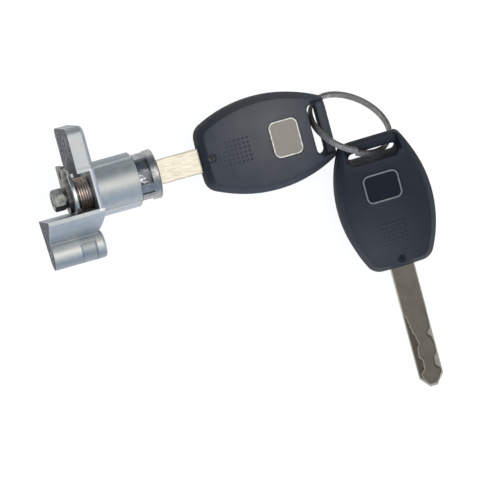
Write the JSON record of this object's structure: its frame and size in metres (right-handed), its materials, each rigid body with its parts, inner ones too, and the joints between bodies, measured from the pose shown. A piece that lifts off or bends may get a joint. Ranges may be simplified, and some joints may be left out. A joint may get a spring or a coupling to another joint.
{
  "type": "boot lock cylinder",
  "caption": "Key-operated boot lock: a cast housing with a flange, a sprung turning core and rear lever, its inserted key, and a spare key on the same split ring.",
  "frame": {"origin": "on the lock's turning axis, in the flange's front face", "axes": "+X along the lock's axis towards the key, +Y up the flange's ear, +Z out of the near side"},
  "size_m": [0.139, 0.1263, 0.0268],
  "materials": {
    "zinc_casting": "as-cast, satin",
    "pressed_steel": "worn satin",
    "copper_wire": "dull copper tone",
    "plug_steel": "satin",
    "wafer_brass": "satin",
    "spring_steel": "satin",
    "disc_steel": "bright",
    "lever_steel": "dull",
    "nut_steel": "satin",
    "nickel_silver": "milled",
    "shell_plastic": "fine grain",
    "badge_fill": "satin",
    "badge_rim": "bright",
    "screw_steel": "dark",
    "chip_glass": "matte",
    "ring_steel": "worn nickel"
  },
  "bodies": {
    "housing": {"housing": "zinc_casting", "nose_cap": "pressed_steel", "torsion_spring": "copper_wire"},
    "plug": {"plug": "plug_steel", "wafer_1": "wafer_brass", "wafer_2": "wafer_brass", "wafer_3": "wafer_brass", "wafer_4": "wafer_brass", "wafer_5": "wafer_brass", "wafer_6": "wafer_brass", "wafer_7": "wafer_brass", "wafer_8": "wafer_brass", "wafer_spring_comb": "spring_steel", "side_bar": "plug_steel", "shutter": "pressed_steel", "shutter_pin": "pressed_steel", "driver_disc": "disc_steel", "lever": "lever_steel", "lock_washer": "nut_steel", "hex_nut": "nut_steel"},
    "main_key": {"main_key_blade": "nickel_silver", "main_key_front_shell": "shell_plastic", "main_key_back_shell": "shell_plastic", "main_key_badge_insert": "badge_fill", "main_key_badge_frame": "badge_rim", "main_key_cover_screw": "screw_steel", "main_key_transponder": "chip_glass"},
    "ring": {"split_ring": "ring_steel"},
    "spare_key": {"spare_key_blade": "nickel_silver", "spare_key_front_shell": "shell_plastic", "spare_key_back_shell": "shell_plastic", "spare_key_badge_insert": "badge_fill", "spare_key_badge_frame": "badge_rim", "spare_key_cover_screw": "screw_steel", "spare_key_transponder": "chip_glass"}
  },
  "joints": [
    {"name": "plug_turn", "type": "hinge", "parent": "housing", "child": "plug", "pos_m": [0, 0, 0], "axis": [1, 0, 0], "range_deg": [-75, 0], "stiffness_Nm_per_rad": 0.04, "springref_deg": 22.92, "deforming": ["torsion_spring"]},
    {"name": "key_slide", "type": "slide", "parent": "plug", "child": "main_key", "axis": [1, 0, 0], "range_m": [0, 0.0315]},
    {"name": "ring_swing", "type": "hinge", "parent": "main_key", "child": "ring", "pos_m": [0.08635, 0, 0], "axis": [0, 1, 0], "range_deg": [-4, 15]},
    {"name": "spare_swing", "type": "hinge", "parent": "ring", "child": "spare_key", "pos_m": [0.0995, -0.0095, 0.0053], "axis": [-0.9947, -0.0227, -0.1007], "range_deg": [0, 14]}
  ]
}
